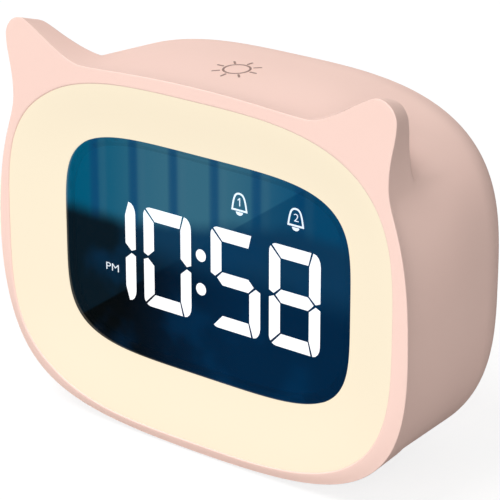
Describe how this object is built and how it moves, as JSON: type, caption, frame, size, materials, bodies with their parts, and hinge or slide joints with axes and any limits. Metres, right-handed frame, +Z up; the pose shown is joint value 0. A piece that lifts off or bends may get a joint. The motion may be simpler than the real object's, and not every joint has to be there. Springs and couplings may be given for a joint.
{
  "type": "kids alarm clock with night light",
  "caption": "Small bedside alarm clock in a soft two-eared housing, with a dished night-light panel around a smoked digital display.",
  "frame": {"origin": "on the table, under the middle of the clock's bounding box", "axes": "+X to the right of someone facing the display, +Y from the front face to the rear cover, +Z up through the ears"},
  "size_m": [0.1296, 0.05, 0.1031],
  "materials": {
    "soft_pink": "soft satin, painted ABS",
    "warm_diffuser": "frosted light diffuser, lit warm cream",
    "smoked_mirror": "smoked half mirror, teal to navy",
    "black_plastic": "fine matte",
    "lit_white": "light guide, lit white",
    "unlit_grey": "light guide, dark",
    "led_yellow": "phosphor-coated diode",
    "board_green": "solder mask",
    "white_plastic": "smooth",
    "steel": "zinc plated",
    "magnet_grey": "ferrite",
    "paper_cone": "treated paper",
    "cell_blue": "heat-shrink sleeve",
    "copper": "bare foil",
    "lead_red": "insulated pair in a sleeve",
    "ribbon_amber": "polyimide film",
    "foot_rubber": "soft matte",
    "foam_black": "closed-cell foam",
    "button_white": "satin"
  },
  "bodies": {
    "clock": {"housing": "soft_pink", "light_panel": "warm_diffuser", "smoked_lens": "smoked_mirror", "lens_tape": "black_plastic", "display_frame": "black_plastic", "lit_segments": "lit_white", "unlit_segments": "unlit_grey", "colon_dots": "lit_white", "alarm_bells": "lit_white", "pm_window": "lit_white", "segment_leds": "led_yellow", "display_board": "board_green", "display_screws": "steel", "light_reflector": "white_plastic", "light_board": "board_green", "light_leds": "led_yellow", "light_screws": "steel", "rear_cover": "soft_pink", "cover_screws": "steel", "main_board": "board_green", "board_screws": "steel", "main_chips": "black_plastic", "lead_sockets": "white_plastic", "switch_bodies": "black_plastic", "socket_shell": "steel", "socket_tongue": "black_plastic", "speaker_basket": "steel", "speaker_cone": "paper_cone", "speaker_magnet": "magnet_grey", "speaker_gasket": "foam_black", "battery_cell": "cell_blue", "battery_holder": "black_plastic", "battery_contacts": "steel", "holder_screws": "steel", "touch_pad": "copper", "touch_lead": "lead_red", "light_lead": "lead_red", "speaker_lead": "lead_red", "battery_lead": "lead_red", "display_ribbon": "ribbon_amber", "rubber_feet": "foot_rubber"},
    "push_1": {"button_1": "button_white", "plunger_1": "black_plastic"},
    "push_2": {"button_2": "button_white", "plunger_2": "black_plastic"},
    "push_3": {"button_3": "button_white", "plunger_3": "black_plastic"},
    "push_4": {"button_4": "button_white", "plunger_4": "black_plastic"},
    "push_5": {"button_5": "button_white", "plunger_5": "black_plastic"}
  },
  "joints": [
    {"name": "button_1_press", "type": "slide", "parent": "clock", "child": "push_1", "axis": [0, -1, 0], "range_m": [0, 0.0005], "stiffness_N_per_m": 1500, "springref_m": -0.0004},
    {"name": "button_2_press", "type": "slide", "parent": "clock", "child": "push_2", "axis": [0, -1, 0], "range_m": [0, 0.0005], "stiffness_N_per_m": 1500, "springref_m": -0.0004},
    {"name": "button_3_press", "type": "slide", "parent": "clock", "child": "push_3", "axis": [0, -1, 0], "range_m": [0, 0.0005], "stiffness_N_per_m": 1500, "springref_m": -0.0004},
    {"name": "button_4_press", "type": "slide", "parent": "clock", "child": "push_4", "axis": [0, -1, 0], "range_m": [0, 0.0005], "stiffness_N_per_m": 1500, "springref_m": -0.0004},
    {"name": "button_5_press", "type": "slide", "parent": "clock", "child": "push_5", "axis": [0, -1, 0], "range_m": [0, 0.0005], "stiffness_N_per_m": 1500, "springref_m": -0.0004}
  ]
}
